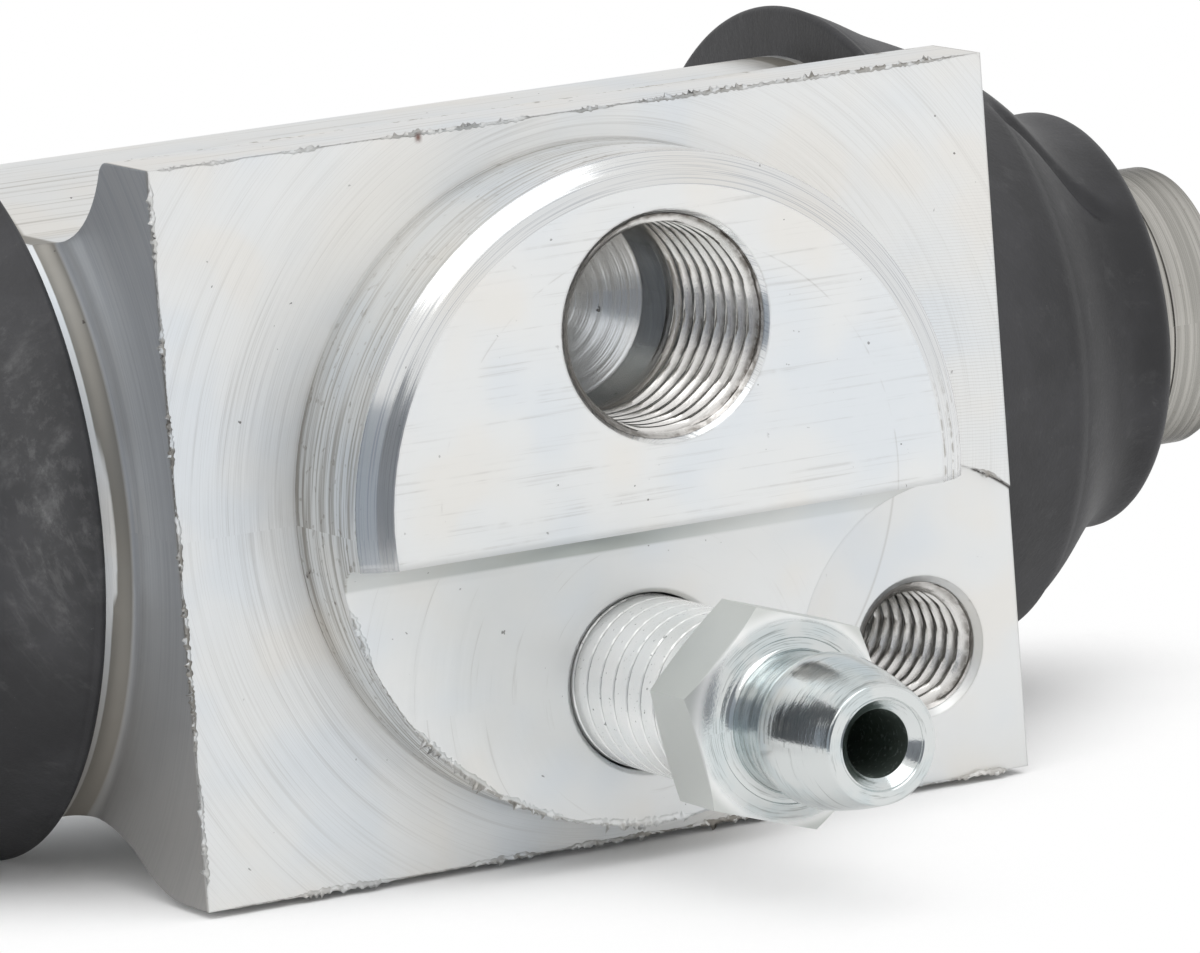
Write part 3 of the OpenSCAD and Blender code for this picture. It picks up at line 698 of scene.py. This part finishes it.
# Depth of the valley before the lip, which climbs to the collar as a fold on the right boot
def pressed(distance, degrees, side):
    b = bootShape
    fold = b["fold"]
    away = (distance - b["creaseX"] + 0.2) / b["valleyW"]
    valley = b["valley"] * math.exp(-away * away)
    valley *= smooth((degrees - b["valleyFrom"]) / 25) * smooth((b["valleyTo"] - degrees) / 60)
    if side < 0:
        return valley
    share = (degrees - fold["from"][1]) / (fold["to"][1] - fold["from"][1])
    middle = fold["from"][0] + (fold["to"][0] - fold["from"][0]) * share
    away = (distance - middle) / fold["width"]
    crease = fold["depth"] * math.exp(-away * away)
    crease *= smooth((share + 0.15) / 0.3) * smooth((1.25 - share) / 0.4)
    roll = fold["roll"] * smooth((distance - middle) / 1.2) * smooth((fold["rollEnd"] - distance) / 2.0)
    return valley + crease - roll * smooth((share + 0.9) / 0.9) * smooth((1.3 - share) / 0.5)


def rubberBoot(side, node):
    low, high = boxOf(node)
    shoulder = min(abs(low.x), abs(high.x))
    length = high.x - low.x
    outside, inside = bootProfile(length)
    seed = 11.0 if side > 0 else 37.0

    def skin(radius, distance):
        def row(angle):
            soft = smooth((distance - 1.0) / 3.0) * smooth((length - 1.0 - distance) / 3.0)
            spot = Vector((distance * 0.22, math.cos(angle) * 1.6, math.sin(angle) * 1.6 + seed))
            dip = bootShape["ripple"] * (noise.noise(spot) - 0.2) - bootShape["drop"] * math.sin(angle)
            hollow = pressed(distance, math.degrees(angle) % 360, side)
            return radius + dip * soft - hollow, shoulder + distance
        return row

    rows = [skin(*point) for point in outside] + [ring(r, shoulder + s) for r, s in inside]
    piece = spun(node + "_rubber", rows, bootShape["around"], onBore(side), rubber, closed=True, sharp=40.0)
    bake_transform(piece)
    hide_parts(node)


rubberBoot(-1, "left_boot")
rubberBoot(1, "right_boot")
print("boots made")


pistonShape = {
    "headL": 9.5, "stubR": 6.7, "edge": 0.4, "tipEdge": 0.12, "scribe": 0.05, "scribeX": 1.9, "around": 160,
    "grooveR": 6.1, "grooveIn": 2.65, "grooveOut": 0.15, "grooveEdge": 0.08,
}


def turnedPiston(side, node, boot):
    p = pistonShape
    low, high = boxOf(node)
    inner = min(abs(low.x), abs(high.x))
    outer = max(abs(low.x), abs(high.x))
    headR = high.z
    bootEnd = max(abs(corner.x) for corner in boxOf(boot))
    edge = p["edge"]
    headEnd = inner + p["headL"]
    scribe = bootEnd + p["scribeX"]
    grooveFrom = bootEnd - p["grooveIn"]
    grooveTo = bootEnd + p["grooveOut"]
    profile = [(headR - edge, inner), (headR, inner + edge), (headR, headEnd - edge), (headR - edge, headEnd),
               (p["stubR"], headEnd), (p["stubR"], grooveFrom),
               (p["grooveR"], grooveFrom), (p["grooveR"], grooveTo),
               (p["stubR"] - p["grooveEdge"], grooveTo), (p["stubR"], grooveTo + p["grooveEdge"]),
               (p["stubR"], scribe - p["scribe"]), (p["stubR"] - p["scribe"], scribe),
               (p["stubR"], scribe + p["scribe"]), (p["stubR"], outer - edge),
               (p["stubR"] - p["tipEdge"], outer - p["tipEdge"]), (p["stubR"] - edge, outer)]
    rows = [ring(r, s) for r, s in profile]
    piece = spun(node + "_turned", rows, p["around"], onBore(side), pistonMetal, sharp=25.0)
    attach(piece, node)
    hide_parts(node)


turnedPiston(-1, "left_piston", "left_boot")
turnedPiston(1, "right_piston", "right_boot")
print("pistons made")


springShape = {"wire": 1.1, "coilR": 4.6, "turns": 6, "closedPitch": 1.05, "around": 16, "steps": 40}


# Each half of the spring, from the middle out to the piston that it pushes
def springHalf(side, name):
    s = springShape
    low, high = boxOf("return_spring")
    half = s["turns"] / 2
    closed = s["wire"] * s["closedPitch"]
    pitch = (high.x - low.x - s["wire"] - 2 * closed) / (s["turns"] - 2)
    endTurn = half - 1                       # the last turn lies flat on the expander

    def onCoil(radius, turn, angle):
        away = pitch * min(turn, endTurn) + closed * max(turn - endTurn, 0.0)
        turned = fullTurn * (half + side * turn)
        r = s["coilR"] + radius * math.cos(angle)
        return side * away + radius * math.sin(angle), axisDepth + r * math.cos(turned), r * math.sin(turned)

    rows = [ring(s["wire"] / 2, turn) for turn in spread(0, half, round(half * s["steps"]))]
    piece = spun(name, rows, s["around"], onCoil, springMetal)
    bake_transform(piece)
    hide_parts("return_spring")


springHalf(-1, "return_spring_left")
springHalf(1, "return_spring_right")
print("spring made")


# Ragged metal that the cutter pushed over an edge, in clusters of chips
def burr(name, points, first, second, size, seed, cover=0.1):
    draw = random.Random(seed)
    count = len(points)
    shift = Vector((seed, seed * 0.7, 0))
    ringPoints = []
    for i, point in enumerate(points):
        base = Vector(point)
        a = Vector(first(point) if callable(first) else first)
        b = Vector(second)
        out = -(a + b).normalized()
        ends = smooth(min(i, count - 1 - i) / 3.0)
        cluster = smooth((noise.noise(base * 0.33 + shift) + cover) / 0.3)
        chip = max(0.0, noise.noise(base * 1.9 + shift) + 0.45) * draw.uniform(0.4, 1.5)
        tall = size * (0.14 + cluster * chip) * ends
        wide = size * (0.25 + 0.75 * cluster) * draw.uniform(0.6, 1.3) * (0.2 + 0.8 * ends)
        lean = draw.uniform(-0.9, 0.9) * tall
        ringPoints += [base + a * wide,
                       base + a * wide * 0.4 + out * tall * draw.uniform(0.3, 0.9),
                       base + out * tall + (a - b) * lean,
                       base + b * wide * 0.4 + out * tall * draw.uniform(0.1, 0.7),
                       base + b * wide,
                       base + (a + b) * wide * 0.5]
    piece = meshPiece(name, ringPoints, ringFaces(count, 6), bodyMetal, 20.0)
    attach(piece, "cylinder")


def stretch(start, end, step=0.11):
    start = Vector(start)
    end = Vector(end)
    count = round((end - start).length / step)
    return [start.lerp(end, i / count) for i in range(count + 1)]


def bow(centre, radius, y, low, high, step=0.11):
    count = round(math.radians(high - low) * radius / step)
    return [(centre[0] + radius * math.cos(a), y, centre[1] + radius * math.sin(a))
            for a in (math.radians(low + (high - low) * i / count) for i in range(count + 1))]


lowerY = -3.9                                # the milled half's face
cornerR = 1.1                                # the plate's lower corners
shortBy = 0.4                                # how far a burr stops before an upper corner
fixingPlace = placeOf("fixing_hole")
burrSize = {"left": 0.17, "top": 0.15, "bottom": 0.19, "disc": 0.26, "spot": 0.14}


def inward(point):
    return -Vector((point[0], 0, point[2])).normalized()


def fromFixing(point):
    return Vector((point[0] - fixingPlace.x, 0, point[2] - fixingPlace.z)).normalized()


burr("burr_left_edge", stretch((-plateHalf, 0, -plateTop + cornerR), (-plateHalf, 0, plateTop - shortBy)),
     (1, 0, 0), (0, 1, 0), burrSize["left"], 3, 0.25)
burr("burr_top_edge", stretch((-plateHalf + shortBy, 0, plateTop), (plateHalf - shortBy, 0, plateTop)),
     (0, 0, -1), (0, 1, 0), burrSize["top"], 5)
burr("burr_bottom_edge", stretch((-plateHalf + cornerR, 0, -plateTop), (plateHalf - cornerR, 0, -plateTop)),
     (0, 0, 1), (0, 1, 0), burrSize["bottom"], 8, 0.2)
burr("burr_disc_edge", bow((0, 0), spigotR, lowerY, 193, 296), inward, (0, 1, 0), burrSize["disc"], 13, 0.3)
burr("burr_spot_edge", bow((fixingPlace.x, fixingPlace.z), bodyLook["spotR"], 0, 55, 66),
     fromFixing, (0, 1, 0), burrSize["spot"], 17, 0.5)
print("burrs made")


solidLooks = {
    "cylinder_body": bodyMetal, "left_cup_seal": sealRubber, "right_cup_seal": sealRubber,
    "left_cup_expander": springMetal, "right_cup_expander": springMetal,
}
for name, material in solidLooks.items():
    nodes[name].data.materials.clear()
    nodes[name].data.materials.append(material)
print("carried-over solids dressed")


studio = {
    "floorColour": grey(0.90), "floorHalf": 1.6,
    "shadowReach": 12, "shadow": (0.22, 0.72),   # the floor's shade ends where this much of the sky is open
    "worldLevel": 0.84, "whiteInMetal": 0.2,
    "lamps": {
        "softbox": {"place": (-215, -170, 660), "aim": (0, 0, 0), "size": (760, 620), "watts": 1.7},
    },
    "flags": {
        "side_flag": {"facing": (-0.95, -0.30, 0), "away": 66, "half": 140, "low": -17, "high": 26,
                      "colour": (0.43, 0.465, 0.515, 1)},
        "camera_flag": {"facing": (-0.455, -0.89, 0), "away": 64, "half": 19, "low": -14, "high": 19,
                        "colour": (0.27, 0.285, 0.31, 1)},
        "left_flag": {"facing": (-0.78, 0.60, 0), "away": 72, "half": 26, "low": -16, "high": 75,
                      "colour": (0.10, 0.106, 0.115, 1)},
    },
}


# 1 for what the camera sees, with a share of it in metal and through glass
def seenWhite(start):
    path = start.make("LightPath").socket.node
    seen, glossy, through = [Val(start.tree, path.outputs[name])
                             for name in ("Is Camera Ray", "Is Glossy Ray", "Is Transmission Ray")]
    return start.math("MINIMUM", seen + (glossy + through) * studio["whiteInMetal"], 1.0)


def studioFloor():
    half = studio["floorHalf"]
    level = cadBox[0].z
    mesh = bpy.data.meshes.new("floor")
    corners = [(x * half, y * half, level) for x, y in ((-1, -1), (1, -1), (1, 1), (-1, 1))]
    mesh.from_pydata(corners, [], [(0, 1, 2, 3)])
    floor = bpy.data.objects.new("floor", mesh)
    bpy.context.collection.objects.link(floor)
    constants = {"Base Color": studio["floorColour"], "Roughness": 0.9, "Specular IOR Level": 0.1}
    material, start, shader, place = surface("paleFloor", constants)
    white = start.make("Emission", None, {"Color": (1, 1, 1, 1), "Strength": 1.0})
    clear = start.make("AmbientOcclusion", {"samples": 3}, {"Distance": studio["shadowReach"] * mm}, 1)
    both = start.make("MixShader", None, {0: seenWhite(start) * clear.rise(*studio["shadow"]),
                                          1: Val(start.tree, shader.outputs[0]), 2: white})
    start.tree.links.new(both.socket, start.tree.nodes["Material Output"].inputs["Surface"])
    mesh.materials.append(material)


# Dark cards by the camera that only reflections see
def darkFlag(name, flag):
    facing = Vector(flag["facing"]).normalized()
    side = Vector((-facing.y, facing.x, 0))
    corners = [facing * flag["away"] + side * reach * flag["half"] + Vector((0, 0, flag[end]))
               for reach, end in ((-1, "low"), (1, "low"), (1, "high"), (-1, "high"))]
    mesh = bpy.data.meshes.new(name)
    mesh.from_pydata([corner * mm for corner in corners], [], [(0, 1, 2, 3)])
    card = bpy.data.objects.new(name, mesh)
    bpy.context.collection.objects.link(card)
    constants = {"Base Color": flag["colour"], "Roughness": 0.9, "Specular IOR Level": 0.0}
    mesh.materials.append(surface(name, constants)[0])
    card.visible_camera = False
    card.visible_diffuse = False
    card.visible_shadow = False


def studioWorld():
    world = bpy.data.worlds.new("studio")
    bpy.context.scene.world = world
    world.use_nodes = True
    tree = world.node_tree
    start = Val(tree)
    light, white = [start.make("Background", None, {"Color": (1, 1, 1, 1), "Strength": level})
                    for level in (studio["worldLevel"], 1.0)]
    seen = start.make("MixShader", None, {0: seenWhite(start), 1: light, 2: white})
    tree.links.new(seen.socket, tree.nodes["World Output"].inputs["Surface"])


def lamp(name, place, aim, size, watts):
    light = bpy.data.lights.new(name, "AREA")
    light.shape = "RECTANGLE"
    light.size = size[0] * mm
    light.size_y = size[1] * mm
    light.energy = watts
    stand = bpy.data.objects.new(name, light)
    stand.location = Vector(place) * mm
    stand.rotation_euler = (Vector(aim) - Vector(place)).to_track_quat("-Z", "Y").to_euler()
    bpy.context.collection.objects.link(stand)


camera = {"place": (-209.57, -410.1, 76.66), "aim": (0, 0, 0), "roll": -4.35, "lens": 313.8, "sensor": 36.0}


def studioCamera():
    data = bpy.data.cameras.new("camera")
    data.lens = camera["lens"]
    data.sensor_fit = "HORIZONTAL"
    data.sensor_width = camera["sensor"]
    data.clip_start = 0.01
    data.clip_end = 20.0
    eye = bpy.data.objects.new("camera", data)
    eye.location = Vector(camera["place"]) * mm
    look = (Vector(camera["aim"]) - Vector(camera["place"])).to_track_quat("-Z", "Y")
    eye.rotation_euler = look.to_euler()
    eye.rotation_euler.rotate_axis("Z", math.radians(camera["roll"]))
    bpy.context.collection.objects.link(eye)
    bpy.context.scene.camera = eye


studioFloor()
for name, one in studio["flags"].items():
    darkFlag(name, one)
studioWorld()
for name, one in studio["lamps"].items():
    lamp(name, one["place"], one["aim"], one["size"], one["watts"])
studioCamera()
bpy.context.scene.view_settings.view_transform = "Standard"
print("studio made")

bpy.context.view_layer.update()
